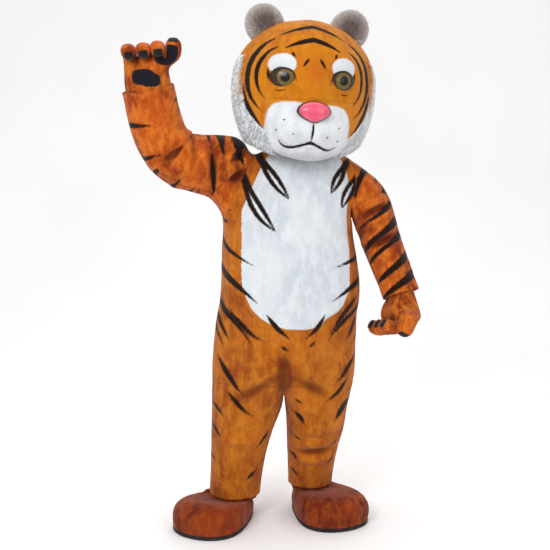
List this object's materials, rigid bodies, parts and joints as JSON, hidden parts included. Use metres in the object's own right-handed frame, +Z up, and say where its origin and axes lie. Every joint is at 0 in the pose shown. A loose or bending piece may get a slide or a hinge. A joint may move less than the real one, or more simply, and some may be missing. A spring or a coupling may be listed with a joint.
{
  "type": "tiger mascot costume",
  "caption": "Full-body tiger costume for an adult: padded head, striped plush jumpsuit with a white front, paw gloves and boot covers, posed with one paw raised.",
  "frame": {"origin": "in the neck of the jumpsuit, 1.36 m above the floor that the boots stand on, where the wearer's shoulders carry the costume", "axes": "+Z up, -Y the way the costume faces, +X to the wearer's left"},
  "size_m": [1.0661, 0.5396, 1.8953],
  "materials": {
    "orange_plush": "short-pile plush with a mottled nap and dark airbrushed stripes",
    "white_plush": "white plush",
    "grey_fur": "longer grey fur",
    "rust_plush": "short-pile reddish brown plush",
    "black_felt": "black felt, and the dark soles",
    "pink_vinyl": "glossy pink nose",
    "eye_plastic": "glossy domed eyes"
  },
  "bodies": {
    "root": {"belly": "white_plush", "front_left": "orange_plush", "front_right": "orange_plush", "back_left": "orange_plush", "back_right": "orange_plush", "back_fly": "orange_plush", "sleeve_left": "orange_plush", "sleeve_right": "orange_plush", "leg_left_front": "orange_plush", "leg_left_back": "orange_plush", "leg_right_front": "orange_plush", "leg_right_back": "orange_plush", "face": "orange_plush", "head_back": "orange_plush", "muzzle": "white_plush", "chin": "white_plush", "ruff_left": "white_plush", "ruff_right": "white_plush", "ear_left": "orange_plush", "ear_right": "orange_plush", "ear_inner_left": "grey_fur", "ear_inner_right": "grey_fur", "eye_left": "eye_plastic", "eye_right": "eye_plastic", "nose": "pink_vinyl", "paw_left_back": "orange_plush", "paw_left_palm": "orange_plush", "paw_right_back": "orange_plush", "paw_right_palm": "orange_plush", "boot_left": "rust_plush", "boot_right": "rust_plush", "sole_left": "black_felt", "sole_right": "black_felt", "pad_left_1": "black_felt", "pad_left_2": "black_felt", "pad_left_3": "black_felt", "pad_left_thumb": "black_felt", "pad_right_1": "black_felt", "pad_right_2": "black_felt", "pad_right_3": "black_felt", "pad_right_thumb": "black_felt"}
  },
  "joints": []
}
